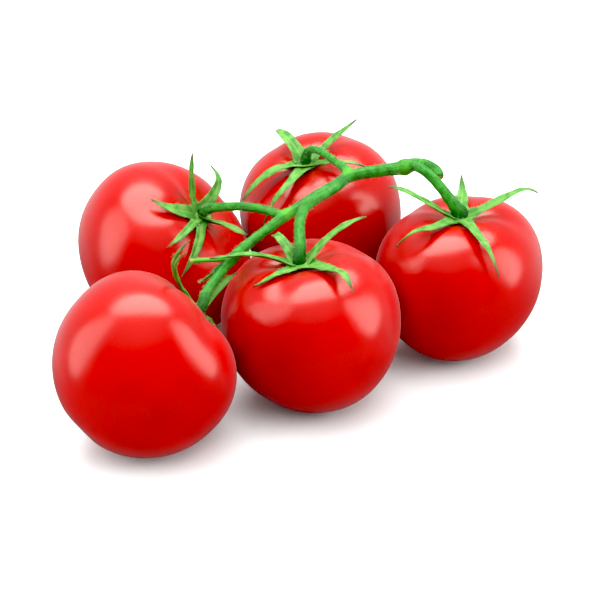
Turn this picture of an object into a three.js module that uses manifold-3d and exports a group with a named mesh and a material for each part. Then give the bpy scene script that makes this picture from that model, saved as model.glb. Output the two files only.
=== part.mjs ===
import * as THREE from 'three';
import { mergeVertices } from 'three/addons/utils/BufferGeometryUtils.js';
import Module from 'manifold-3d';

const wasm = await Module();
wasm.setup();

// A truss of five ripe vine tomatoes, still on the stem that they grew on, lying on a flat surface.
// Millimetres, +Z up. The origin is on the surface, under the middle of the whole truss. The back
// three fruits are on the +Y side. The main stem runs over the valley between the two rows.

// The middle of the truss in the coordinates that the fruits and the stem are given in.
const MIDDLE = { x: 1.4, y: 6.4 };

// Each fruit: where it stands, its radius, its height as a share of its width, how far its stem end
// leans (sideways for each unit of height), how much wider its upper half is than its lower one,
// how oval it is round its axis and at what bearing, and the bearing of its first groove.
const FRUITS = {
  front_left: {
    x: -55.48, y: -45.95, radius: 32.27, squat: 0.933, lean: [1.374, 0.98], taper: 0.095,
    oval: 0.046, ovalAt: 45.6, grooveAt: 9.2,
  },
  front_middle: {
    x: 4.39, y: -18.3, radius: 31.98, squat: 0.93, lean: [-0.165, 0.083], taper: 0.136,
    oval: 0.023, ovalAt: 128.6, grooveAt: -39.6,
  },
  right: {
    x: 58.4, y: 14.92, radius: 30.75, squat: 0.946, lean: [-0.016, 0.065], taper: 0.109,
    oval: 0.066, ovalAt: 49.4, grooveAt: -71.1,
  },
  back_middle: {
    x: 8.58, y: 56.89, radius: 31.16, squat: 0.945, lean: [-0.235, -0.115], taper: 0.089,
    oval: 0.027, ovalAt: 96.7, grooveAt: 50.1,
  },
  back_left: {
    x: -52.27, y: 31.58, radius: 32.74, squat: 0.856, lean: [0.77, -0.206], taper: 0.105,
    oval: 0.043, ovalAt: 134, grooveAt: 57.3,
  },
};
const FRUIT_SIDES = 28;
const FRUIT_RINGS = 19;
const DIMPLE_DEPTH = 3.6;
const DIMPLE_WIDTH = 9;
const SCAR_DEPTH = 0.8;
const SCAR_WIDTH = 6;
const GROOVES = 5;
const GROOVE_DEPTH = 0.032;
const SHOULDER_POWER = 2.35;
const BASE_POWER = 2.1;
// The skin flattens where the fruit's weight rests.
const REST_SINK = 0.35;

// Sepals: bearing round the fruit's axis, how far that bearing has turned at the tip, reach from the
// axis, height over the stem end half way and at the tip, width, and how far the last of the tip
// curls up. Degrees and mm.
const SEPALS = {
  back_left: [
    [165, -12, 17.8, 8.1, 17.8, 4.2, -0.2], [75, 15, 21, 7.9, 4.8, 4.4, 1.8],
    [-52, 14, 17.8, 7.5, 10.7, 5, 0.3], [-93, -2, 28.9, -1.7, -4.3, 4.4, -2.8],
    [246, -4, 27, -0.8, 3, 3.2, -4.2], [216, -19, 23, 2.2, 0.9, 5.6, 0.4],
  ],
  back_middle: [
    [122, -1, 20.9, 6.6, 4.5, 5.3, 0.3], [31, -11, 22.9, 4.7, 9.1, 3.9, 1.4],
    [-39, 20, 24.4, 4.1, 2.4, 3.6, -2.8], [212, -8, 27.8, 4.4, -2.8, 6.2, -0.1],
    [256, -25, 29.6, 4.1, -0.9, 4.2, -6.3],
  ],
  front_left: [
    [206, 30, 28.8, 3.3, 8.9, 3.2, 5.5], [213, 29, 29.1, 3.1, 7.7, 2, 2.8],
    [110, -10, 10.5, 16.5, 16, 2.6, 6], [45, 0, 12, 2, 0, 4.2, 0], [84, 0, 12.5, 2, 0, 4, 0],
  ],
  front_middle: [
    [126, -11, 20.3, 7, 2.3, 3.6, 1.2], [178, 8, 30.7, 6.8, 7.5, 4.8, 2],
    [233, -18, 20.1, -4, 0.5, 3.6, -0.3], [-44, -9, 30.6, 2.5, 5.7, 5.4, -5.9],
    [1, 4, 26, 10.5, 14, 3.9, 0],
  ],
  right: [
    [236, -20, 29.6, 3.1, 4.4, 4.3, -6.2], [-73, 8, 30.3, 1.7, -3.4, 4.5, -5.4],
    [-4, 2, 28, 8.1, 15.2, 4.4, -4.5], [82, 4, 21.4, 0.7, 5.3, 5, 1.6],
    [197, -6, 26.2, 9.7, 17.7, 4.5, -1.7],
  ],
};
const SEPAL_ROOT = 2.5;
const SEPAL_THICKNESS = 1.2;
const SEPAL_FOLD = 0.25;
const SEPAL_FLARE = 0.6;
const SEPAL_STEPS = 12;
const SEPAL_CLEARANCE = 1;
const HUB_RADIUS = 4.8;
const HUB_HEIGHT = 1.2;

// Stem lines: x, y, z and radius at each point.
const MAIN_STEM = [
  [-35.5, -31.1, 46.7, 2.3], [-34.4, -30.2, 47.6, 2.1], [-33.4, -27.4, 49.6, 1.95],
  [-32.4, -24.9, 50.9, 1.85], [-30.8, -22.6, 52, 1.8], [-28.7, -19.3, 53.4, 1.8],
  [-26.5, -15.9, 55, 1.85], [-24, -13.5, 56.6, 2], [-20.9, -9.8, 58, 1.9], [-17.4, -6.1, 59.2, 1.75],
  [-13.9, -2.6, 60.1, 1.75], [-9.8, 1.8, 61, 1.8], [-6.1, 5.7, 61.8, 2], [-2.5, 9, 62.5, 2],
  [2.2, 13.1, 63.7, 1.9], [5.8, 15.8, 64.8, 1.85], [9.4, 18.3, 65.6, 1.9], [13.4, 20.9, 66.4, 2],
  [17.3, 24.9, 67.1, 2.3], [21.8, 26, 67.8, 2.2], [26.1, 26.3, 68.4, 2.25], [31.2, 26.7, 69, 2.3],
  [35.2, 26.7, 69.5, 2.45], [38.1, 27, 70, 2.9], [40.5, 28.4, 70, 2.5], [43.3, 29.4, 69.5, 2.45],
  [46.3, 29.5, 68.7, 2.45], [48.8, 28.7, 67.6, 2.4], [50, 27.4, 66.6, 2.3], [50.3, 26.1, 66, 2.1],
];
const STALKS = [
  // front middle fruit
  [
    [-0.1, -16.1, 56.5, 2.6], [-0.3, -15.9, 58.2, 2.4], [0, -13.6, 61.1, 2.15], [-0.1, -10, 63.4, 2],
    [-0.2, -5.8, 65.6, 1.9], [0.4, -1.2, 67.2, 1.85], [2.2, 4, 67.4, 1.8], [5.5, 10.3, 66.5, 1.75],
    [9.4, 15.1, 66, 1.7], [13.4, 19.6, 66.2, 1.7], [17, 24, 67, 1.7],
  ],
  // right fruit
  [
    [57.9, 16.7, 55.3, 3.1], [57.9, 16.8, 57, 3], [56.4, 16.1, 59.6, 2.5], [54.5, 16.4, 62.3, 2.15],
    [51.4, 18.4, 65.9, 1.95], [47.9, 20.9, 69, 1.85], [44.6, 23.3, 70.9, 1.8], [41.3, 25.8, 71.4, 1.85],
    [38.3, 27.5, 70.8, 2],
  ],
  // back middle fruit
  [
    [2.4, 53.8, 55.5, 2.3], [2.1, 53.7, 57, 2.1], [2.5, 53.8, 59.5, 1.85], [3.5, 53.1, 61.4, 1.6],
    [5.2, 51.6, 62.8, 1.45], [7.6, 47.9, 64, 1.4], [10.2, 43.1, 65, 1.4], [12.8, 38.1, 65.8, 1.45],
    [15.6, 32.8, 66.5, 1.6], [17.8, 28.2, 67, 1.85],
  ],
  // back left fruit
  [
    [-36.6, 27.5, 49.5, 2.3], [-35.6, 27.2, 50.8, 2.1], [-34.7, 24.9, 52.5, 1.9],
    [-33.8, 23.4, 53.9, 1.8], [-31.5, 21.9, 55.6, 1.7], [-27.2, 19.4, 57.8, 1.65],
    [-21.9, 16.5, 59.7, 1.6], [-16.6, 13.7, 60.9, 1.6], [-11.4, 10.5, 61.6, 1.65], [-8, 8, 61.8, 1.75],
    [-5.4, 6.2, 62, 1.9],
  ],
  // side stalk whose flower set no fruit
  [
    [-23.7, -13.2, 56.8, 1.2], [-26.8, -14.6, 57.2, 0.9], [-33.2, -15.4, 57.4, 0.8],
    [-38.8, -16.2, 57.5, 0.85],
  ],
  // thin bract
  [
    [-27.2, -15.8, 56, 0.8], [-29.7, -17.8, 55.3, 0.6], [-31.2, -19.8, 54.4, 0.5],
    [-32.8, -20.6, 53.2, 0.42], [-34.3, -20.9, 52.2, 0.36], [-36, -20.7, 51.4, 0.3],
  ],
];
const KNUCKLES = [
  // x, y, z and radius of the swellings where a stalk leaves the main stem
  [17.6, 26.6, 67.3, 2.4], [37.9, 26.9, 70, 3.15], [-5, 7.4, 62, 2.3], [-23.7, -13.2, 56.8, 2.15],
  [-20, -9, 58.3, 2.05],
];
const STEM_SIDES = 8;
const STEM_STEPS_PER_POINT = 1;
const STEM_GAP = 0.5;
const FRUIT_GAP = 0.3;

const RED = new THREE.MeshStandardMaterial({ color: 0xc4120a, roughness: 0.22, metalness: 0 });
const LEAF_GREEN = new THREE.MeshStandardMaterial({ color: 0x7fb254, roughness: 0.6, metalness: 0 });
const STEM_GREEN = new THREE.MeshStandardMaterial({ color: 0x4b9438, roughness: 0.55, metalness: 0 });

const radians = THREE.MathUtils.degToRad;

// The skin of a fruit, seen from its own middle: theta runs from its stem end to its blossom end.
function skinRadius(fruit, theta, phi) {
  const across = Math.sin(theta);
  const along = Math.cos(theta);
  const power = along > 0 ? SHOULDER_POWER : BASE_POWER;
  const body = (Math.max(across, 0) / fruit.radius) ** power
    + (Math.abs(along) / (fruit.radius * fruit.squat)) ** power;
  let r = body ** (-1 / power);
  r *= 1 + fruit.taper * along * across ** 2;
  r *= 1 + fruit.oval * Math.cos(2 * (phi - radians(fruit.ovalAt))) * across ** 2;
  const groove = ((1 + Math.cos(GROOVES * (phi - radians(fruit.grooveAt)))) / 2) ** 2;
  const shoulder = Math.tanh(theta / 0.3) * Math.exp(-((theta / 1.15) ** 2));
  return r * (1 - GROOVE_DEPTH * groove * shoulder);
}

function skinPoint(fruit, theta, phi, grow = 0) {
  const r = skinRadius(fruit, theta, phi) + grow;
  const rho = r * Math.sin(theta);
  const along = r * Math.cos(theta);
  const dip = along > 0
    ? DIMPLE_DEPTH * Math.exp(-((rho / DIMPLE_WIDTH) ** 2))
    : -SCAR_DEPTH * Math.exp(-((rho / SCAR_WIDTH) ** 2));
  return new THREE.Vector3(rho * Math.cos(phi), rho * Math.sin(phi), along - dip);
}

// The frame of a fruit: local z is its stem axis, and its lowest skin sinks a little below z = 0.
function fruitFrame(fruit) {
  const up = new THREE.Vector3(fruit.lean[0], fruit.lean[1], 1).normalize();
  const side = new THREE.Vector3(1, 0, 0).addScaledVector(up, -up.x).normalize();
  const frame = new THREE.Matrix4().makeBasis(side, up.clone().cross(side), up);
  let lowest = Infinity;
  for (let i = 0; i <= 180; i++) {
    for (let j = 0; j < 90; j++) {
      const p = skinPoint(fruit, (Math.PI * i) / 180, (2 * Math.PI * j) / 90).applyMatrix4(frame);
      lowest = Math.min(lowest, p.z);
    }
  }
  return frame.setPosition(fruit.x - MIDDLE.x, fruit.y - MIDDLE.y, -lowest - REST_SINK);
}

// A closed solid from a plain geometry, each of whose shared vertices is then put in its place.
function solidOf(geometry, place) {
  geometry.deleteAttribute('normal');
  geometry.deleteAttribute('uv');
  const merged = mergeVertices(geometry, 1e-4);
  const position = merged.attributes.position;
  const placed = [];
  for (let i = 0; i < position.count; i++) {
    placed.push(...place(new THREE.Vector3().fromBufferAttribute(position, i)).toArray());
  }
  return new wasm.Manifold(new wasm.Mesh({
    numProp: 3,
    vertProperties: new Float32Array(placed),
    triVerts: new Uint32Array(merged.index.array),
  }));
}

function meshOf(name, solid, material) {
  const data = solid.getMesh();
  const geometry = new THREE.BufferGeometry();
  geometry.setAttribute('position', new THREE.BufferAttribute(new Float32Array(data.vertProperties), 3));
  geometry.setIndex(new THREE.BufferAttribute(new Uint32Array(data.triVerts), 1));
  geometry.computeVertexNormals();
  const mesh = new THREE.Mesh(geometry, material);
  mesh.name = name;
  return mesh;
}

function fruitSolid(fruit, frame, grow = 0) {
  return solidOf(new THREE.SphereGeometry(1, FRUIT_SIDES, FRUIT_RINGS), (v) => {
    const theta = Math.acos(THREE.MathUtils.clamp(v.y, -1, 1));
    return skinPoint(fruit, theta, Math.atan2(-v.z, v.x), grow).applyMatrix4(frame);
  });
}

// A closed bar along a line of frames: the cylinder's height becomes the line, its round the section.
function bar(sides, steps, frameAt, sectionAt) {
  return solidOf(new THREE.CylinderGeometry(1, 1, 1, sides, steps), (v) => {
    const t = Math.round((v.y + 0.5) * steps) / steps;
    const { point, side, up } = frameAt(t);
    const [right, high] = sectionAt(t, v.x, v.z);
    return point.clone().addScaledVector(side, right).addScaledVector(up, high);
  });
}

function stalk(line) {
  const spans = line.length - 1;
  const steps = spans * STEM_STEPS_PER_POINT;
  const curve = new THREE.CatmullRomCurve3(
    line.map(([x, y, z]) => new THREE.Vector3(x - MIDDLE.x, y - MIDDLE.y, z)),
    false,
    'catmullrom',
  );
  const frames = [];
  let side = new THREE.Vector3(0.6, -0.7, 0.3);
  for (let i = 0; i <= steps; i++) {
    const along = curve.getTangent(i / steps);
    side = side.clone().addScaledVector(along, -side.dot(along)).normalize();
    frames.push({ point: curve.getPoint(i / steps), side, up: side.clone().cross(along) });
  }
  const radiusAt = (t) => {
    const i = Math.min(Math.floor(t * spans), spans - 1);
    return THREE.MathUtils.lerp(line[i][3], line[i + 1][3], t * spans - i);
  };
  return bar(
    STEM_SIDES,
    steps,
    (t) => frames[Math.round(t * steps)],
    (t, x, z) => [x * radiusAt(t), z * radiusAt(t)],
  );
}

function knuckle([x, y, z, radius]) {
  const middle = new THREE.Vector3(x - MIDDLE.x, y - MIDDLE.y, z);
  return solidOf(new THREE.SphereGeometry(radius, STEM_SIDES, 6), (v) => v.add(middle));
}

// Height of the grown skin over a point beside the stem axis, found by halving.
function skinHeight(fruit, rho, phi) {
  let low = 0;
  let high = 1.6;
  if (skinPoint(fruit, high, 0, SEPAL_CLEARANCE).x < rho) return -Infinity;
  for (let i = 0; i < 30; i++) {
    const middle = (low + high) / 2;
    const p = skinPoint(fruit, middle, phi, SEPAL_CLEARANCE);
    if (Math.hypot(p.x, p.y) < rho) low = middle;
    else high = middle;
  }
  return skinPoint(fruit, low, phi, SEPAL_CLEARANCE).z;
}

// A sepal leaves the hub broad, rises along its own bow and never dips into the skin.
function sepal(fruit, frame, [bearing, turn, reach, middle, tip, width, curl]) {
  const stemEnd = skinPoint(fruit, 0.001, 0).z + 0.9;
  const pointAt = (t) => {
    const rho = SEPAL_ROOT + (reach - SEPAL_ROOT) * t;
    const phi = radians(bearing + turn * t * t);
    const bow = stemEnd + (4 * middle - tip) * t + (2 * tip - 4 * middle) * t * t
      + curl * (Math.max(t - 0.7, 0) / 0.3) ** 2;
    const skin = Math.max(skinHeight(fruit, rho, phi), bow - 20);
    const z = skin + 0.6 * Math.log(1 + Math.exp((bow - skin) / 0.6));
    return new THREE.Vector3(rho * Math.cos(phi), rho * Math.sin(phi), z);
  };
  const turnOnly = new THREE.Matrix4().extractRotation(frame);
  const frameAt = (t) => {
    const along = pointAt(t + 0.02).sub(pointAt(t - 0.02)).normalize();
    const side = new THREE.Vector3(0, 0, 1).cross(along).normalize();
    const up = along.clone().cross(side);
    return {
      point: pointAt(t).applyMatrix4(frame),
      side: side.applyMatrix4(turnOnly),
      up: up.applyMatrix4(turnOnly),
    };
  };
  const halfWidth = (t) => {
    const flare = 1 + SEPAL_FLARE * Math.exp(-((t / 0.13) ** 2));
    return Math.max((width / 2) * flare * (1 - t ** 2.4) ** 0.75, 0.45);
  };
  return bar(6, SEPAL_STEPS, frameAt, (t, x, z) => {
    const half = halfWidth(t);
    const thick = (SEPAL_THICKNESS / 2) * (1 - 0.4 * t);
    return [-x * half, z * thick + SEPAL_FOLD * Math.abs(x) * half];
  });
}

function hub(fruit, frame) {
  const size = new THREE.Vector3(HUB_RADIUS, HUB_RADIUS, HUB_HEIGHT);
  const base = skinPoint(fruit, 0.001, 0).z + 0.9;
  const ball = new THREE.SphereGeometry(1, 12, 8).rotateX(Math.PI / 2);
  return solidOf(ball, (v) => {
    v.multiply(size);
    const dish = DIMPLE_DEPTH * (1 - Math.exp(-(v.x ** 2 + v.y ** 2) / DIMPLE_WIDTH ** 2));
    v.z += base + dish;
    return v.applyMatrix4(frame);
  });
}

const union = (solids) => solids.reduce((a, b) => a.add(b));

const truss = new THREE.Group();

const stem = union([...[MAIN_STEM, ...STALKS].map(stalk), ...KNUCKLES.map(knuckle)]);
truss.add(meshOf('vine_stem', stem, STEM_GREEN));

// The stem with a thin skin of air round it, for the recess that each calyx leaves for its stalk.
const widened = (line) => {
  const room = line.map(([x, y, z, radius]) => [x, y, z, radius + STEM_GAP]);
  const foot = [0, 1, 2].map((i) => line[0][i] - line[1][i]);
  const length = Math.hypot(...foot);
  foot.forEach((step, i) => { room[0][i] += (STEM_GAP * 1.2 * step) / length; });
  return room;
};
const stemRoom = union([MAIN_STEM, ...STALKS].map((line) => stalk(widened(line))));

for (const [place, fruit] of Object.entries(FRUITS)) {
  const frame = fruitFrame(fruit);
  const body = fruitSolid(fruit, frame).trimByPlane([0, 0, 1], 0);
  truss.add(meshOf(`tomato_${place}`, body, RED));
  const sepals = SEPALS[place].map((values) => sepal(fruit, frame, values));
  const calyx = union([hub(fruit, frame), ...sepals])
    .subtract(fruitSolid(fruit, frame, FRUIT_GAP))
    .subtract(stemRoom);
  truss.add(meshOf(`calyx_${place}`, calyx, LEAF_GREEN));
}

export default truss;
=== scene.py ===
import math

import bpy
import numpy as np
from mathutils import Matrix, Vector, kdtree


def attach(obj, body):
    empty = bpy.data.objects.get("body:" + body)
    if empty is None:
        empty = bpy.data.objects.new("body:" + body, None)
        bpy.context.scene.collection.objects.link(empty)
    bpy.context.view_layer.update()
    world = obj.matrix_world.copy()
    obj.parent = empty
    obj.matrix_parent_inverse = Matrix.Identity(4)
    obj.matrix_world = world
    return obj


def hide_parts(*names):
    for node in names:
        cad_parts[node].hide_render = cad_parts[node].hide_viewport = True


# Looks for a truss of five ripe vine tomatoes. Shapes are worked out in millimetres, in the part's
# own frame, and turned into metres when a mesh is made.

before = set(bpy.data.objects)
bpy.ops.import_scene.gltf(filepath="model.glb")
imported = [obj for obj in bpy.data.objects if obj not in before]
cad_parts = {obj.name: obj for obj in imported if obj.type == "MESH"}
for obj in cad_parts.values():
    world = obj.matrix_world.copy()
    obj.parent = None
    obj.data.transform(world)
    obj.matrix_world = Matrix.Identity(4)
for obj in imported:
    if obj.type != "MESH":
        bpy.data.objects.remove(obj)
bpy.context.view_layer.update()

MM = 0.001

# The middle of the truss in the coordinates that the fruits and the stem are given in.
MIDDLE = np.array([1.4, 6.4, 0.0])

# Each fruit: where it stands, its radius, its height as a share of its width, how far its stem end
# leans, how much wider its upper half is, how oval it is and at what bearing, its first groove's
# bearing, and the phase of its own small unevenness.
FRUITS = {
    "front_left": dict(
        at=(-55.48, -45.95), radius=32.27, squat=0.933, lean=(1.374, 0.98), taper=0.095,
        oval=0.046, oval_at=45.6, groove_at=9.2, phase=0.4,
    ),
    "front_middle": dict(
        at=(4.39, -18.3), radius=31.98, squat=0.93, lean=(-0.165, 0.083), taper=0.136,
        oval=0.023, oval_at=128.6, groove_at=-39.6, phase=1.9,
    ),
    "right": dict(
        at=(58.4, 14.92), radius=30.75, squat=0.946, lean=(-0.016, 0.065), taper=0.109,
        oval=0.066, oval_at=49.4, groove_at=-71.1, phase=3.1,
    ),
    "back_middle": dict(
        at=(8.58, 56.89), radius=31.16, squat=0.945, lean=(-0.235, -0.115), taper=0.089,
        oval=0.027, oval_at=96.7, groove_at=50.1, phase=4.6,
    ),
    "back_left": dict(
        at=(-52.27, 31.58), radius=32.74, squat=0.856, lean=(0.77, -0.206), taper=0.105,
        oval=0.043, oval_at=134, groove_at=57.3, phase=5.5,
    ),
}
FRUIT_SIDES = 168
FRUIT_RINGS = 112
DIMPLE_DEPTH = 3.6
DIMPLE_WIDTH = 9
SCAR_DEPTH = 0.8
SCAR_WIDTH = 6
GROOVES = 5
GROOVE_DEPTH = 0.032
SHOULDER_POWER = 2.35
BASE_POWER = 2.1
REST_SINK = 0.35
UNEVEN = 0.16
PLEATS = 23
PLEAT_DEPTH = 0.05
# Rings crowd towards the two ends of the fruit by this share.
RING_CROWDING = 0.09

# Sepals: bearing round the fruit's axis, its turn at the tip, reach from the axis, height over the
# stem end half way and at the tip, greatest width, and how far the last of the tip curls up.
SEPALS = {
    "back_left": [
        (165, -12, 17.8, 8.1, 17.8, 4.2, -0.2), (75, 15, 21, 7.9, 4.8, 4.4, 1.8),
        (-52, 14, 17.8, 7.5, 10.7, 5, 0.3), (-93, -2, 28.9, -1.7, -4.3, 4.4, -2.8),
        (246, -4, 27, -0.8, 3, 3.2, -4.2), (216, -19, 23, 2.2, 0.9, 5.6, 0.4),
    ],
    "back_middle": [
        (122, -1, 20.9, 6.6, 4.5, 5.3, 0.3), (31, -11, 22.9, 4.7, 9.1, 3.9, 1.4),
        (-39, 20, 24.4, 4.1, 2.4, 3.6, -2.8), (212, -8, 27.8, 4.4, -2.8, 6.2, -0.1),
        (256, -25, 29.6, 4.1, -0.9, 4.2, -6.3),
    ],
    "front_left": [
        (206, 30, 28.8, 3.3, 8.9, 3.2, 5.5), (213, 29, 29.1, 3.1, 7.7, 2, 2.8),
        (110, -10, 10.5, 16.5, 16, 2.6, 6), (45, 0, 12, 2, 0, 4.2, 0), (84, 0, 12.5, 2, 0, 4, 0),
    ],
    "front_middle": [
        (126, -11, 20.3, 7, 2.3, 3.6, 1.2), (178, 8, 30.7, 6.8, 7.5, 4.8, 2),
        (233, -18, 20.1, -4, 0.5, 3.6, -0.3), (-44, -9, 30.6, 2.5, 5.7, 5.4, -5.9),
        (1, 4, 26, 10.5, 14, 3.9, 0),
    ],
    "right": [
        (236, -20, 29.6, 3.1, 4.4, 4.3, -6.2), (-73, 8, 30.3, 1.7, -3.4, 4.5, -5.4),
        (-4, 2, 28, 8.1, 15.2, 4.4, -4.5), (82, 4, 21.4, 0.7, 5.3, 5, 1.6),
        (197, -6, 26.2, 9.7, 17.7, 4.5, -1.7),
    ],
}
SEPAL_ROOT = 2.5
SEPAL_THICKNESS = 0.9
SEPAL_FOLD = 0.25
SEPAL_FLARE = 0.6
SEPAL_STEPS = 72
SEPAL_SIDES = 24
SEPAL_CLEARANCE = 1
HUB_RADIUS = 4.8
HUB_HEIGHT = 1.2
HUB_SIDES = 48
HUB_RINGS = 24
# The hub and the roots of the blades stand this far over the bottom of the dimple.
CALYX_LIFT = 0.9

# Stem lines: x, y, z and radius at each point.
MAIN_STEM = [
    (-35.5, -31.1, 46.7, 2.3), (-34.4, -30.2, 47.6, 2.1), (-33.4, -27.4, 49.6, 1.95),
    (-32.4, -24.9, 50.9, 1.85), (-30.8, -22.6, 52, 1.8), (-28.7, -19.3, 53.4, 1.8),
    (-26.5, -15.9, 55, 1.85), (-24, -13.5, 56.6, 2), (-20.9, -9.8, 58, 1.9), (-17.4, -6.1, 59.2, 1.75),
    (-13.9, -2.6, 60.1, 1.75), (-9.8, 1.8, 61, 1.8), (-6.1, 5.7, 61.8, 2), (-2.5, 9, 62.5, 2),
    (2.2, 13.1, 63.7, 1.9), (5.8, 15.8, 64.8, 1.85), (9.4, 18.3, 65.6, 1.9), (13.4, 20.9, 66.4, 2),
    (17.3, 24.9, 67.1, 2.3), (21.8, 26, 67.8, 2.2), (26.1, 26.3, 68.4, 2.25), (31.2, 26.7, 69, 2.3),
    (35.2, 26.7, 69.5, 2.45), (38.1, 27, 70, 2.9), (40.5, 28.4, 70, 2.5), (43.3, 29.4, 69.5, 2.45),
    (46.3, 29.5, 68.7, 2.45), (48.8, 28.7, 67.6, 2.4), (50, 27.4, 66.6, 2.3), (50.3, 26.1, 66, 2.1),
]
STALK_MIDDLE = [
    (-0.1, -16.1, 56.5, 2.6), (-0.3, -15.9, 58.2, 2.4), (0, -13.6, 61.1, 2.15), (-0.1, -10, 63.4, 2),
    (-0.2, -5.8, 65.6, 1.9), (0.4, -1.2, 67.2, 1.85), (2.2, 4, 67.4, 1.8), (5.5, 10.3, 66.5, 1.75),
    (9.4, 15.1, 66, 1.7), (13.4, 19.6, 66.2, 1.7), (17, 24, 67, 1.7),
]
STALK_RIGHT = [
    (57.9, 16.7, 55.3, 3.1), (57.9, 16.8, 57, 3), (56.4, 16.1, 59.6, 2.5), (54.5, 16.4, 62.3, 2.15),
    (51.4, 18.4, 65.9, 1.95), (47.9, 20.9, 69, 1.85), (44.6, 23.3, 70.9, 1.8), (41.3, 25.8, 71.4, 1.85),
    (38.3, 27.5, 70.8, 2),
]
STALK_BACK = [
    (2.4, 53.8, 55.5, 2.3), (2.1, 53.7, 57, 2.1), (2.5, 53.8, 59.5, 1.85), (3.5, 53.1, 61.4, 1.6),
    (5.2, 51.6, 62.8, 1.45), (7.6, 47.9, 64, 1.4), (10.2, 43.1, 65, 1.4), (12.8, 38.1, 65.8, 1.45),
    (15.6, 32.8, 66.5, 1.6), (17.8, 28.2, 67, 1.85),
]
STALK_LEFT = [
    (-36.6, 27.5, 49.5, 2.3), (-35.6, 27.2, 50.8, 2.1), (-34.7, 24.9, 52.5, 1.9),
    (-33.8, 23.4, 53.9, 1.8), (-31.5, 21.9, 55.6, 1.7), (-27.2, 19.4, 57.8, 1.65),
    (-21.9, 16.5, 59.7, 1.6), (-16.6, 13.7, 60.9, 1.6), (-11.4, 10.5, 61.6, 1.65), (-8, 8, 61.8, 1.75),
    (-5.4, 6.2, 62, 1.9),
]
SIDE_STALK = [
    (-23.7, -13.2, 56.8, 1.2), (-26.8, -14.6, 57.2, 0.9), (-33.2, -15.4, 57.4, 0.8),
    (-38.8, -16.2, 57.5, 0.85),
]
BRACT = [
    (-27.2, -15.8, 56, 0.8), (-29.7, -17.8, 55.3, 0.6), (-31.2, -19.8, 54.4, 0.5),
    (-32.8, -20.6, 53.2, 0.42), (-34.3, -20.9, 52.2, 0.36), (-36, -20.7, 51.4, 0.3),
]
STEM_LINES = [MAIN_STEM, STALK_MIDDLE, STALK_RIGHT, STALK_BACK, STALK_LEFT]
KNUCKLES = [
    (17.6, 26.6, 67.3, 2.4), (37.9, 26.9, 70, 3.15), (-5, 7.4, 62, 2.3), (-23.7, -13.2, 56.8, 2.15),
    (-20, -9, 58.3, 2.05),
]
# Steps from one given point of a line to the next: for tubes, for finding the nearest place on the
# stem, and for rooting hairs.
TUBE_STEPS = 10
FINE_STEPS = 14
HAIR_STEPS = 16
STEM_VOXEL = 0.3
STEM_SIDES = 20
KNUCKLE_RINGS = 14
TWIG_SIDES = 16
RIDGE_HEIGHT = 0.03
LUMP_HEIGHT = 0.06
HAIRS_PER_MM = 20
HAIRS_PER_SEPAL = 70
HAIR_WIDTH = 0.06

# The camera looks along +Y and down, from far away through a long lens.
CAMERA_ELEVATION = 34
CAMERA_DISTANCE = 1000
CAMERA_AIM_HEIGHT = 30
CAMERA_LENS = 165.3

# How bright the studio is behind the camera and behind the truss, and the view's black level.
ROOM_LIGHT = 0.02
BACKDROP_LIGHT = 0.7
BLACK_LEVEL = 0.023
# Metres.
FLOOR_WIDTH = 12
LAMP_TARGET = (0, 0, 0.03)


# Shape formulas of the fruits

def skin_point(fruit, theta, phi, grow=0.0):
    """The skin in the fruit's own frame; theta runs from the stem end to the blossom end."""
    theta, phi = np.broadcast_arrays(np.asarray(theta, float), np.asarray(phi, float))
    across, along = np.sin(theta), np.cos(theta)
    power = np.where(along > 0, SHOULDER_POWER, BASE_POWER)
    body = (np.maximum(across, 0) / fruit["radius"]) ** power
    body = body + (np.abs(along) / (fruit["radius"] * fruit["squat"])) ** power
    r = body ** (-1 / power)
    r = r * (1 + fruit["taper"] * along * across**2)
    r = r * (1 + fruit["oval"] * np.cos(2 * (phi - math.radians(fruit["oval_at"]))) * across**2)
    groove = ((1 + np.cos(GROOVES * (phi - math.radians(fruit["groove_at"])))) / 2) ** 2
    shoulder = np.tanh(theta / 0.3) * np.exp(-((theta / 1.15) ** 2))
    r = r * (1 - GROOVE_DEPTH * groove * shoulder) + grow
    rho = r * across
    dip = np.where(
        along > 0,
        DIMPLE_DEPTH * np.exp(-((rho / DIMPLE_WIDTH) ** 2)),
        -SCAR_DEPTH * np.exp(-((rho / SCAR_WIDTH) ** 2)),
    )
    return np.stack([rho * np.cos(phi), rho * np.sin(phi), r * along - dip], axis=-1)


def fruit_frame(fruit):
    """Columns of the fruit's own axes, and its middle, with the lowest skin just under z = 0."""
    up = np.array([fruit["lean"][0], fruit["lean"][1], 1.0])
    up /= np.linalg.norm(up)
    side = np.array([1.0, 0, 0]) - up[0] * up
    side /= np.linalg.norm(side)
    axes = np.stack([side, np.cross(up, side), up], axis=1)
    theta = np.linspace(0, math.pi, 181)[:, None]
    phi = np.linspace(0, 2 * math.pi, 90, endpoint=False)[None, :]
    lowest = (skin_point(fruit, theta, phi) @ axes.T)[..., 2].min()
    middle = np.array([fruit["at"][0], fruit["at"][1], -lowest - REST_SINK]) - MIDDLE
    return axes, middle


def unevenness(fruit, theta, phi):
    """Slow swells of the skin, and fine pleats round the stem end."""
    p = fruit["phase"]
    swell = np.sin(theta) * (
        np.sin(2 * phi + 3 * theta + p)
        + 0.7 * np.sin(3 * phi - 2.3 * theta + 2.1 * p)
        + 0.5 * np.sin(5 * phi + 4.1 * theta + 0.7 * p)
    )
    pleat = np.cos(PLEATS * phi + 1.3 * np.sin(3 * phi + p)) * np.exp(-(((theta - 0.2) / 0.13) ** 2))
    return UNEVEN * swell + PLEAT_DEPTH * pleat


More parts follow.
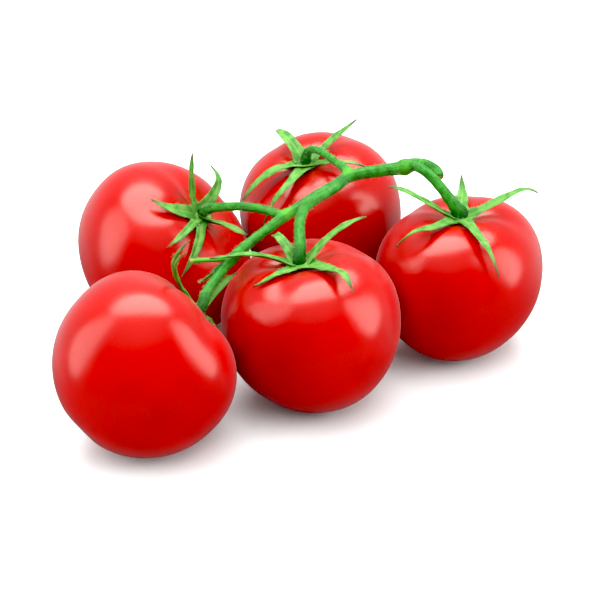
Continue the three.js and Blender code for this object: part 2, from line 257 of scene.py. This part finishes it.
def skin_height(fruit, rho, phi):
    """Height of the grown skin over points beside the stem axis, found by halving."""
    low, high = np.zeros_like(rho), np.full_like(rho, 1.6)
    for _ in range(30):
        middle = (low + high) / 2
        p = skin_point(fruit, middle, phi, SEPAL_CLEARANCE)
        inside = np.hypot(p[..., 0], p[..., 1]) < rho
        low, high = np.where(inside, middle, low), np.where(inside, high, middle)
    height = skin_point(fruit, low, phi, SEPAL_CLEARANCE)[..., 2]
    return np.where(low > 1.599, -np.inf, height)


# Mesh helpers

def new_object(name, points_mm, faces, material):
    """A smooth piece that rides on the truss."""
    mesh = bpy.data.meshes.new(name)
    mesh.from_pydata((np.asarray(points_mm) * MM).tolist(), [], faces)
    mesh.polygons.foreach_set("use_smooth", [True] * len(mesh.polygons))
    mesh.update()
    mesh.materials.append(material)
    piece = bpy.data.objects.new(name, mesh)
    bpy.context.scene.collection.objects.link(piece)
    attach(piece, "root")
    return piece


def add_attribute(piece, name, values):
    """A number at each point, which the materials read."""
    layer = piece.data.attributes.new(name, "FLOAT", "POINT")
    layer.data.foreach_set("value", np.asarray(values, dtype=np.float32).ravel())


def ring_faces(rings, sides, first=0):
    """Quads between rings of points, and a fan of triangles that closes each end."""
    faces = []
    for i in range(rings - 1):
        for j in range(sides):
            k = (j + 1) % sides
            a, b = first + i * sides, first + (i + 1) * sides
            faces.append((a + j, a + k, b + k, b + j))
    start, end = first + rings * sides, first + rings * sides + 1
    last = first + (rings - 1) * sides
    for j in range(sides):
        k = (j + 1) % sides
        faces.append((start, first + k, first + j))
        faces.append((end, last + j, last + k))
    return faces


# The fruits

def make_fruit(place, fruit, material):
    axes, middle = fruit_frame(fruit)
    rise = np.linspace(0, 1, FRUIT_RINGS + 2)[1:-1]
    theta = math.pi * (rise - RING_CROWDING * np.sin(2 * math.pi * rise) / (2 * math.pi))
    phi = np.linspace(0, 2 * math.pi, FRUIT_SIDES, endpoint=False)
    grid_theta, grid_phi = np.meshgrid(theta, phi, indexing="ij")
    local = skin_point(fruit, grid_theta, grid_phi, unevenness(fruit, grid_theta, grid_phi))
    ends = skin_point(fruit, np.array([1e-4, math.pi - 1e-4]), np.zeros(2))
    local = np.concatenate([local.reshape(-1, 3), ends])
    points = local @ axes.T + middle
    points[:, 2] = np.maximum(points[:, 2], 0)
    faces = ring_faces(FRUIT_RINGS, FRUIT_SIDES)
    piece = new_object(f"fruit_{place}", points, faces, material)
    rho = np.hypot(local[:, 0], local[:, 1])
    add_attribute(piece, "stem_end", np.where(local[:, 2] > 0, rho, 99))
    add_attribute(piece, "blossom_end", np.where(local[:, 2] < 0, rho, 99))
    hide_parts(f"tomato_{place}")


# The calyces

def sepal_line(fruit, values, t):
    """The middle of a blade: a bow from root to tip that stays over the skin."""
    bearing, turn, reach, middle, tip, _, curl = values
    stem_end = skin_point(fruit, 0.001, 0.0)[2] + CALYX_LIFT
    rho = SEPAL_ROOT + (reach - SEPAL_ROOT) * t
    phi = np.radians(bearing + turn * t * t)
    bow = stem_end + (4 * middle - tip) * t + (2 * tip - 4 * middle) * t * t
    bow = bow + curl * np.clip((t - 0.7) / 0.3, 0, None) ** 2
    skin = np.maximum(skin_height(fruit, rho, phi), bow - 20)
    z = skin + 0.6 * np.log1p(np.exp((bow - skin) / 0.6))
    return np.stack([rho * np.cos(phi), rho * np.sin(phi), z], axis=-1)


def sepal_points(fruit, values, seed):
    """Rings of points round a thin folded blade, from its root to its tip."""
    width = values[5]
    t = np.linspace(-0.04, 1, SEPAL_STEPS)
    line = sepal_line(fruit, values, t)
    along = sepal_line(fruit, values, t + 0.01) - sepal_line(fruit, values, t - 0.01)
    along /= np.linalg.norm(along, axis=1, keepdims=True)
    side = np.cross([0.0, 0.0, 1.0], along)
    side /= np.linalg.norm(side, axis=1, keepdims=True)
    up = np.cross(along, side)
    clipped = np.clip(t, 0, 1)
    flare = 1 + SEPAL_FLARE * np.exp(-((clipped / 0.13) ** 2))
    half = np.maximum(width / 2 * flare * (1 - clipped**2.4) ** 0.75, 0.16)
    thick = SEPAL_THICKNESS / 2 * (1 - 0.55 * clipped)
    angle = np.linspace(0, 2 * np.pi, SEPAL_SIDES, endpoint=False)
    across = np.sin(angle)[None, :]
    high = np.cos(angle)[None, :]
    rib = np.exp(-((across / 0.16) ** 2))
    wave = 0.22 * np.sin(13 * t + seed)[:, None] + 0.12 * np.sin(29 * t + 2.3 * seed)[:, None]
    lift = np.sign(high) * np.abs(high) ** 0.8 * thick[:, None]
    lift = lift - 0.16 * rib * (high > 0) - 0.22 * rib * (high < 0)
    lift = lift + SEPAL_FOLD * np.abs(across) * half[:, None]
    lift = lift + wave * across * np.minimum(half, 1.2)[:, None] * 0.5
    twist = 0.25 * np.sin(2.1 * t + 1.7 * seed)[:, None]
    right = across * half[:, None]
    turned = right * np.cos(twist) - lift * np.sin(twist)
    lift = right * np.sin(twist) + lift * np.cos(twist)
    rings = line[:, None] + turned[..., None] * side[:, None] + lift[..., None] * up[:, None]
    along_blade = np.repeat(clipped[:, None], SEPAL_SIDES, axis=1)
    return rings, along_blade, np.repeat(across, SEPAL_STEPS, axis=0)


def hub_points(fruit):
    """Rings of points round the flat button that the blades grow from."""
    theta = np.linspace(0.02, math.pi - 0.02, HUB_RINGS)[:, None]
    phi = np.linspace(0, 2 * math.pi, HUB_SIDES, endpoint=False)[None, :]
    x = HUB_RADIUS * np.sin(theta) * np.cos(phi)
    y = HUB_RADIUS * np.sin(theta) * np.sin(phi)
    dish = DIMPLE_DEPTH * (1 - np.exp(-(x**2 + y**2) / DIMPLE_WIDTH**2))
    z = HUB_HEIGHT * np.cos(theta) + skin_point(fruit, 0.001, 0.0)[2] + CALYX_LIFT + dish
    return np.stack([x, y, z], axis=-1)


def make_calyx(place, fruit, material):
    axes, middle = fruit_frame(fruit)
    points, faces, along, across = [], [], [], []
    count = 0
    for index, values in enumerate(SEPALS[place]):
        rings, t, u = sepal_points(fruit, values, fruit["phase"] + 2.4 * index)
        ends = np.stack([rings[0].mean(axis=0), rings[-1].mean(axis=0)])
        points += [rings.reshape(-1, 3), ends]
        along += [t.ravel(), [0, 1]]
        across += [u.ravel(), [0, 0]]
        faces += ring_faces(SEPAL_STEPS, SEPAL_SIDES, count)
        count += rings.shape[0] * rings.shape[1] + 2
    hub = hub_points(fruit)
    ends = np.stack([hub[0].mean(axis=0), hub[-1].mean(axis=0)])
    points += [hub.reshape(-1, 3), ends]
    along += [np.full(hub.shape[0] * hub.shape[1] + 2, -0.2)]
    across += [np.zeros(hub.shape[0] * hub.shape[1] + 2)]
    faces += ring_faces(hub.shape[0], hub.shape[1], count)
    local = np.concatenate(points)
    piece = new_object(f"sepals_{place}", local @ axes.T + middle, faces, material)
    add_attribute(piece, "along", np.concatenate(along))
    add_attribute(piece, "across", np.concatenate(across))
    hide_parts(f"calyx_{place}")


# The stem

def smooth_line(line, steps_per_point):
    """Catmull-Rom points, radii and directions along a stem line."""
    p = np.array(line, float)
    p[:, :3] -= MIDDLE
    ends = np.vstack([2 * p[0] - p[1], p, 2 * p[-1] - p[-2]])
    ends[0, 3], ends[-1, 3] = p[0, 3], p[-1, 3]
    rows = []
    for i in range(len(p) - 1):
        a, b, c, d = ends[i], ends[i + 1], ends[i + 2], ends[i + 3]
        for t in np.linspace(0, 1, steps_per_point, endpoint=False):
            point = 0.5 * (2 * b + (c - a) * t + (2 * a - 5 * b + 4 * c - d) * t**2
                           + (3 * b - 3 * c + d - a) * t**3)
            point[3] = b[3] + (c[3] - b[3]) * (3 * t * t - 2 * t**3)
            rows.append(point)
    rows.append(p[-1])
    rows = np.array(rows)
    along = np.gradient(rows[:, :3], axis=0)
    along /= np.linalg.norm(along, axis=1, keepdims=True)
    side = np.array([0.6, -0.7, 0.3])
    sides = []
    for direction in along:
        side = side - side.dot(direction) * direction
        side = side / np.linalg.norm(side)
        sides.append(side)
    return rows[:, :3], rows[:, 3], along, np.array(sides)


def tube_rings(along, side, angle):
    """Unit circles square to the line, one for each of its points."""
    up = np.cross(along, side)
    return np.cos(angle)[None, :, None] * side[:, None] + np.sin(angle)[None, :, None] * up[:, None]


def stem_base_mesh():
    """All stem lines and swellings as loose closed tubes in one mesh."""
    points, faces, count = [], [], 0
    angle = np.linspace(0, 2 * np.pi, STEM_SIDES, endpoint=False)
    for line in STEM_LINES:
        centre, radius, along, side = smooth_line(line, TUBE_STEPS)
        rings = centre[:, None] + tube_rings(along, side, angle) * radius[:, None, None]
        points += [rings.reshape(-1, 3), centre[[0, -1]]]
        faces += ring_faces(len(centre), STEM_SIDES, count)
        count += len(centre) * STEM_SIDES + 2
    for x, y, z, radius in KNUCKLES:
        theta = np.linspace(0.05, math.pi - 0.05, KNUCKLE_RINGS)[:, None]
        ball = np.stack([
            np.sin(theta) * np.cos(angle), np.sin(theta) * np.sin(angle), np.cos(theta) + 0 * angle,
        ], axis=-1)
        middle = np.array([x, y, z]) - MIDDLE
        rings = middle + ball * radius
        points += [rings.reshape(-1, 3), middle + [[0, 0, radius], [0, 0, -radius]]]
        faces += ring_faces(KNUCKLE_RINGS, STEM_SIDES, count)
        count += KNUCKLE_RINGS * STEM_SIDES + 2
    return np.concatenate(points), faces


def make_stem(material):
    """The stem lines joined into one skin, with soft fillets where they meet."""
    points, faces = stem_base_mesh()
    rough = new_object("stem", points, faces, material)
    remesh = rough.modifiers.new("join", "REMESH")
    remesh.mode = "VOXEL"
    remesh.voxel_size = STEM_VOXEL * MM
    smooth = rough.modifiers.new("fillet", "SMOOTH")
    smooth.factor = 0.5
    smooth.iterations = 8
    evaluated = rough.evaluated_get(bpy.context.evaluated_depsgraph_get())
    mesh = bpy.data.meshes.new_from_object(evaluated)
    rough.modifiers.clear()
    rough.data = mesh
    mesh.materials.clear()
    mesh.materials.append(material)
    carve_stem(rough)
    mesh.polygons.foreach_set("use_smooth", [True] * len(mesh.polygons))
    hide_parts("vine_stem")


def carve_stem(piece):
    """Fine lengthwise ridges, and attributes that say where along its line each point is."""
    mesh = piece.data
    points = np.empty(len(mesh.vertices) * 3, np.float32)
    mesh.vertices.foreach_get("co", points)
    points = points.reshape(-1, 3).astype(float) / MM
    normals = np.empty(len(mesh.vertices) * 3, np.float32)
    mesh.vertex_normals.foreach_get("vector", normals)
    normals = normals.reshape(-1, 3)
    lines = [smooth_line(line, FINE_STEPS) for line in STEM_LINES]
    centre = np.concatenate([line[0] for line in lines])
    radius = np.concatenate([line[1] for line in lines])
    along = np.concatenate([line[2] for line in lines])
    side = np.concatenate([line[3] for line in lines])
    which = np.concatenate([np.full(len(line[0]), i) for i, line in enumerate(lines)])
    from_foot = np.concatenate([
        np.r_[0, np.cumsum(np.linalg.norm(np.diff(line[0], axis=0), axis=1))] for line in lines
    ])
    tree = kdtree.KDTree(len(centre))
    for i, c in enumerate(centre):
        tree.insert(Vector(c), i)
    tree.balance()
    nearest = np.array([tree.find(Vector(p))[1] for p in points])
    away = points - centre[nearest]
    up = np.cross(along[nearest], side[nearest])
    angle = np.arctan2((away * up).sum(1), (away * side[nearest]).sum(1))
    distance = from_foot[nearest]
    ridge = np.cos(7 * angle + 0.7 * np.sin(distance * 0.21)) + 0.6 * np.cos(12 * angle + 1.1)
    lump = np.sin(distance * 0.9 + 2 * angle + which[nearest]) * np.sin(distance * 0.37 + angle)
    push = RIDGE_HEIGHT * ridge + LUMP_HEIGHT * lump
    points = points + normals * (push * np.minimum(radius[nearest] / 2, 1))[:, None]
    mesh.vertices.foreach_set("co", (points * MM).astype(np.float32).ravel())
    mesh.update()
    cut = np.linalg.norm(points - (np.array(MAIN_STEM[-1][:3]) - MIDDLE), axis=1)
    knots = np.array([knuckle[:3] for knuckle in KNUCKLES[:3]]) - MIDDLE
    knot = np.linalg.norm(points[:, None] - knots, axis=2).min(axis=1)
    add_attribute(piece, "from_foot", distance)
    add_attribute(piece, "from_cut", cut)
    add_attribute(piece, "from_knot", knot)


def make_twig(name, line, from_foot, from_knot, material):
    """A thin outgrowth of the stem with a blunt end, as green as the stem at those distances."""
    centre, radius, along, side = smooth_line(line, TUBE_STEPS)
    angle = np.linspace(0, 2 * np.pi, TWIG_SIDES, endpoint=False)
    ribbed = radius[:, None, None] * (1 + 0.06 * np.cos(5 * angle))[None, :, None]
    rings = centre[:, None] + tube_rings(along, side, angle) * ribbed
    points = np.concatenate([rings.reshape(-1, 3), centre[[0, -1]]])
    piece = new_object(name, points, ring_faces(len(centre), TWIG_SIDES), material)
    add_attribute(piece, "from_foot", np.full(len(points), from_foot))
    add_attribute(piece, "from_cut", np.linalg.norm(points - centre[-1], axis=1))
    add_attribute(piece, "from_knot", np.full(len(points), from_knot))
    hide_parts("vine_stem")


# Fine hairs

def make_hairs(name, roots, tips, material, node):
    """Thin three-sided spikes from their roots to their tips, in one mesh."""
    along = tips - roots
    along /= np.linalg.norm(along, axis=1, keepdims=True)
    side = np.cross(along, [0.31, -0.52, 0.8])
    side /= np.linalg.norm(side, axis=1, keepdims=True)
    up = np.cross(along, side)
    corners = [
        roots + (side * math.cos(turn) + up * math.sin(turn)) * HAIR_WIDTH / 2
        for turn in (0, 2 * math.pi / 3, 4 * math.pi / 3)
    ]
    points = np.stack([*corners, tips], axis=1).reshape(-1, 3)
    faces = []
    for k in range(0, len(points), 4):
        faces += [(k, k + 1, k + 3), (k + 1, k + 2, k + 3), (k + 2, k, k + 3), (k, k + 2, k + 1)]
    piece = new_object(name, points, faces, material)
    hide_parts(node)


def make_stem_hairs(material):
    """Hairs all over the stem, standing out from it."""
    roots, tips = [], []
    for line in STEM_LINES + [SIDE_STALK, BRACT]:
        centre, radius, along, side = smooth_line(line, HAIR_STEPS)
        length = np.linalg.norm(np.diff(centre, axis=0), axis=1).sum()
        count = int(length * HAIRS_PER_MM)
        pick = chance.integers(0, len(centre), count)
        angle = chance.uniform(0, 2 * math.pi, count)[:, None]
        out = np.cos(angle) * side[pick] + np.sin(angle) * np.cross(along[pick], side[pick])
        lean = chance.normal(0, 0.35, (count, 3))
        reach = chance.uniform(0.35, 1.0, count)[:, None]
        root = centre[pick] + along[pick] * chance.uniform(-0.3, 0.3, count)[:, None]
        root = root + out * (radius[pick, None] - 0.15)
        roots.append(root)
        tips.append(root + (out + lean) * reach)
    roots, tips = np.concatenate(roots), np.concatenate(tips)
    make_hairs("stem_hairs", roots, tips, material, "vine_stem")


def make_sepal_hairs(place, fruit, material):
    """Hairs along the edges of the blades."""
    axes, middle = fruit_frame(fruit)
    roots, tips = [], []
    for index, values in enumerate(SEPALS[place]):
        rings, _, _ = sepal_points(fruit, values, fruit["phase"] + 2.4 * index)
        rings = rings @ axes.T + middle
        pick = chance.integers(3, SEPAL_STEPS - 2, HAIRS_PER_SEPAL)
        left = chance.random(HAIRS_PER_SEPAL) < 0.5
        edge = np.where(left, SEPAL_SIDES // 4, 3 * SEPAL_SIDES // 4)
        root = rings[pick, edge]
        inward = rings[pick].mean(axis=1) - root
        out = -inward / np.linalg.norm(inward, axis=1, keepdims=True)
        onward = rings[pick + 1].mean(axis=1) - rings[pick].mean(axis=1)
        onward /= np.linalg.norm(onward, axis=1, keepdims=True)
        reach = chance.uniform(0.25, 0.8, HAIRS_PER_SEPAL)[:, None]
        roots.append(root - out * 0.05)
        tips.append(root + (out + 0.4 * onward + chance.normal(0, 0.3, root.shape)) * reach)
    roots, tips = np.concatenate(roots), np.concatenate(tips)
    make_hairs(f"sepal_hairs_{place}", roots, tips, material, f"calyx_{place}")


# Materials

def material_with(name):
    """A new material, with its nodes, its links and its main shader."""
    material = bpy.data.materials.new(name)
    material.use_nodes = True
    nodes, links = material.node_tree.nodes, material.node_tree.links
    return material, nodes, links, nodes["Principled BSDF"]


def set_inputs(node, values):
    for name, value in values.items():
        node.inputs[name].default_value = value


def noise(nodes, links, scale, detail):
    texture = nodes.new("ShaderNodeTexNoise")
    coordinates = nodes.new("ShaderNodeTexCoord")
    links.new(coordinates.outputs["Object"], texture.inputs["Vector"])
    set_inputs(texture, {"Scale": scale, "Detail": detail})
    return texture.outputs["Fac"]


def ramp(nodes, links, source, low, high, low_value=0.0, high_value=1.0):
    """A soft step from one value to another as the source goes from low to high."""
    node = nodes.new("ShaderNodeMapRange")
    node.interpolation_type = "SMOOTHSTEP"
    links.new(source, node.inputs["Value"])
    limits = {"From Min": low, "From Max": high, "To Min": low_value, "To Max": high_value}
    set_inputs(node, limits)
    return node.outputs["Result"]


def mix(nodes, links, factor, first, second):
    """A blend of two colours, each given as numbers or as another node's output."""
    node = nodes.new("ShaderNodeMix")
    node.data_type = "RGBA"
    links.new(factor, node.inputs["Factor"])
    for socket, value in ((node.inputs["A"], first), (node.inputs["B"], second)):
        if isinstance(value, tuple):
            socket.default_value = (*value, 1)
        else:
            links.new(value, socket)
    return node.outputs["Result"]


def attribute(nodes, name):
    node = nodes.new("ShaderNodeAttribute")
    node.attribute_name = name
    return node.outputs["Fac"]


def bump(nodes, links, shader, height, distance_mm, strength):
    node = nodes.new("ShaderNodeBump")
    set_inputs(node, {"Distance": distance_mm * MM, "Strength": strength})
    links.new(height, node.inputs["Height"])
    links.new(node.outputs["Normal"], shader.inputs["Normal"])


def skin_material():
    material, nodes, links, shader = material_with("tomato_skin")
    cloud = ramp(nodes, links, noise(nodes, links, 45, 3), 0.35, 0.65)
    red = mix(nodes, links, cloud, (0.32, 0.0006, 0.0003), (0.36, 0.0008, 0.0004))
    speckle = ramp(nodes, links, noise(nodes, links, 1400, 2), 0.62, 0.75, 0, 0.35)
    red = mix(nodes, links, speckle, red, (0.46, 0.02, 0.006))
    stem_end = ramp(nodes, links, attribute(nodes, "stem_end"), 3, 14, 0.6, 0)
    red = mix(nodes, links, stem_end, red, (0.4, 0.035, 0.004))
    scar = ramp(nodes, links, attribute(nodes, "blossom_end"), 0.7, 1.6, 0.85, 0)
    red = mix(nodes, links, scar, red, (0.16, 0.06, 0.02))
    links.new(red, shader.inputs["Base Color"])
    set_inputs(shader, {
        "Roughness": 0.25, "IOR": 1.56, "Specular Tint": (1.0, 0.92, 0.82, 1),
        "Subsurface Weight": 0.12, "Subsurface Radius": (1.0, 0.15, 0.08), "Subsurface Scale": 0.004,
        "Sheen Weight": 0.12, "Sheen Roughness": 0.35,
    })
    bump(nodes, links, shader, noise(nodes, links, 900, 2), 0.05, 0.55)
    return material


def sepal_material():
    material, nodes, links, shader = material_with("sepal_green")
    cloud = ramp(nodes, links, noise(nodes, links, 330, 5), 0.4, 0.6)
    green = mix(nodes, links, cloud, (0.045, 0.17, 0.022), (0.1, 0.27, 0.05))
    rib = nodes.new("ShaderNodeMath")
    rib.operation = "ABSOLUTE"
    links.new(attribute(nodes, "across"), rib.inputs[0])
    pale = ramp(nodes, links, rib.outputs[0], 0.0, 0.22, 0.5, 0)
    green = mix(nodes, links, pale, green, (0.16, 0.36, 0.07))
    tip = ramp(nodes, links, attribute(nodes, "along"), 0.82, 0.97, 0, 0.85)
    green = mix(nodes, links, tip, green, (0.07, 0.065, 0.025))
    links.new(green, shader.inputs["Base Color"])
    set_inputs(shader, {
        "Roughness": 0.5, "Specular IOR Level": 0.3,
        "Subsurface Weight": 0.2, "Subsurface Radius": (0.4, 1.0, 0.2), "Subsurface Scale": 0.0015,
    })
    bump(nodes, links, shader, noise(nodes, links, 2200, 3), 0.12, 0.6)
    return material


def stem_material():
    material, nodes, links, shader = material_with("stem_green")
    cloud = ramp(nodes, links, noise(nodes, links, 420, 4), 0.3, 0.7)
    green = mix(nodes, links, cloud, (0.011, 0.105, 0.009), (0.035, 0.21, 0.02))
    knot = ramp(nodes, links, attribute(nodes, "from_knot"), 1.5, 4.5, 0.75, 0)
    green = mix(nodes, links, knot, green, (0.075, 0.32, 0.02))
    # Painted shade: each stalk darkens to a deep green over its first few millimetres, where it stands
    # in the calyx among the sepal roots.
    foot_shade = ramp(nodes, links, attribute(nodes, "from_foot"), 1, 7, 0.92, 0)
    green = mix(nodes, links, foot_shade, green, (0.006, 0.05, 0.005))
    cut = ramp(nodes, links, attribute(nodes, "from_cut"), 0.9, 1.8, 0.9, 0)
    green = mix(nodes, links, cut, green, (0.3, 0.22, 0.07))
    links.new(green, shader.inputs["Base Color"])
    set_inputs(shader, {
        "Roughness": 0.5, "Specular IOR Level": 0.25,
        "Subsurface Weight": 0.15, "Subsurface Radius": (0.4, 1.0, 0.2), "Subsurface Scale": 0.002,
    })
    bump(nodes, links, shader, noise(nodes, links, 1500, 3), 0.15, 0.5)
    return material


def hair_material():
    material, nodes, links, shader = material_with("pale_down")
    cloud = ramp(nodes, links, noise(nodes, links, 300, 2), 0.3, 0.7)
    green = mix(nodes, links, cloud, (0.3, 0.48, 0.24), (0.55, 0.68, 0.45))
    links.new(green, shader.inputs["Base Color"])
    set_inputs(shader, {"Roughness": 0.6})
    return material


def floor_material():
    material, nodes, links, shader = material_with("studio_floor")
    cloud = ramp(nodes, links, noise(nodes, links, 3, 2), 0.3, 0.7)
    white = mix(nodes, links, cloud, (0.7, 0.74, 0.74), (0.72, 0.76, 0.76))
    links.new(white, shader.inputs["Base Color"])
    set_inputs(shader, {
        "Roughness": 0.6, "Emission Color": (1, 1, 1, 1), "Emission Strength": 0.03,
    })
    return material


# The studio

def make_floor():
    """A wide white sheet that doesn't show in the gloss of the fruits."""
    mesh = bpy.data.meshes.new("floor")
    half = FLOOR_WIDTH / 2
    corners = [(-half, -half, 0), (half, -half, 0), (half, half, 0), (-half, half, 0)]
    mesh.from_pydata(corners, [], [(0, 1, 2, 3)])
    mesh.materials.append(floor_material())
    floor = bpy.data.objects.new("floor", mesh)
    floor.visible_glossy = False
    bpy.context.scene.collection.objects.link(floor)


def make_light(name, place, size, watts, shows_as_gloss=True, lights_surfaces=True):
    """An oval lamp that lights the surfaces, shows in their gloss, or does both."""
    light = bpy.data.lights.new(name, "AREA")
    light.shape = "ELLIPSE"
    light.size, light.size_y = size
    light.energy = watts
    lamp = bpy.data.objects.new(name, light)
    bpy.context.scene.collection.objects.link(lamp)
    lamp.location = place
    lamp.visible_glossy = shows_as_gloss
    lamp.visible_diffuse = lights_surfaces
    direction = Vector(LAMP_TARGET) - lamp.location
    lamp.rotation_euler = direction.to_track_quat("-Z", "Y").to_euler()


def make_world():
    """A white backdrop behind the truss, and a dim room on the camera's side."""
    world = bpy.data.worlds.new("studio")
    bpy.context.scene.world = world
    world.use_nodes = True
    nodes, links = world.node_tree.nodes, world.node_tree.links
    direction = nodes.new("ShaderNodeTexCoord")
    parts = nodes.new("ShaderNodeSeparateXYZ")
    links.new(direction.outputs["Generated"], parts.inputs["Vector"])
    strength = nodes.new("ShaderNodeMath")
    strength.operation = "MULTIPLY"
    backdrop = ramp(nodes, links, parts.outputs["Y"], -0.1, 0.6, ROOM_LIGHT, BACKDROP_LIGHT)
    links.new(backdrop, strength.inputs[0])
    links.new(ramp(nodes, links, parts.outputs["Z"], -0.65, -0.3), strength.inputs[1])
    background = nodes["Background"]
    set_inputs(background, {"Color": (1, 1, 1, 1)})
    links.new(strength.outputs[0], background.inputs["Strength"])


def make_studio():
    make_world()
    make_light("left_gloss", (-0.9, -0.1, 0.4), (0.6, 1.3), 6.5, lights_surfaces=False)
    make_light("right_gloss", (0.9, -0.1, 0.4), (0.6, 1.3), 8.5, lights_surfaces=False)
    make_light("top_gloss", (-0.05, 0.28, 0.98), (1.3, 0.75), 17.5, lights_surfaces=False)
    make_light("overhead", (-0.1, -0.5, 1.5), (2.4, 1.9), 59, shows_as_gloss=False)
    make_light("right_fill", (1.3, -0.3, 0.5), (1.0, 1.0), 20, shows_as_gloss=False)
    make_light("left_fill", (-1.3, -0.3, 0.5), (1.0, 1.0), 13, shows_as_gloss=False)
    make_light("back_fill", (0, 0.8, 1.1), (1.2, 0.8), 22, shows_as_gloss=False)


def make_camera():
    data = bpy.data.cameras.new("camera")
    data.lens = CAMERA_LENS
    data.sensor_width = 36
    data.clip_start, data.clip_end = 0.05, 20
    camera = bpy.data.objects.new("camera", data)
    bpy.context.scene.collection.objects.link(camera)
    target = (Vector((0, 0, CAMERA_AIM_HEIGHT)) - Vector(MIDDLE)) * MM
    tilt = math.radians(CAMERA_ELEVATION)
    away = Vector((0, -math.cos(tilt), math.sin(tilt)))
    camera.location = target + away * CAMERA_DISTANCE * MM
    camera.rotation_euler = (math.pi / 2 - tilt, 0, 0)
    bpy.context.scene.camera = camera


def make_look():
    """Plain colours with a slightly raised black level, as in a retouched studio picture."""
    view = bpy.context.scene.view_settings
    view.view_transform = "Standard"
    view.use_curve_mapping = True
    view.curve_mapping.black_level = (BLACK_LEVEL,) * 3
    view.curve_mapping.update()


chance = np.random.default_rng(7)
skin, leaf, bark, down = skin_material(), sepal_material(), stem_material(), hair_material()
for place, fruit in FRUITS.items():
    make_fruit(place, fruit, skin)
    make_calyx(place, fruit, leaf)
    make_sepal_hairs(place, fruit, down)
make_stem(bark)
make_twig("side_stalk", SIDE_STALK, 99, 0, bark)
# The bract's distance of 3.5 mm from a foot gives it part of the painted shade of a stalk foot.
make_twig("bract", BRACT, 3.5, 99, bark)
make_stem_hairs(down)
make_floor()
make_studio()
make_camera()
make_look()
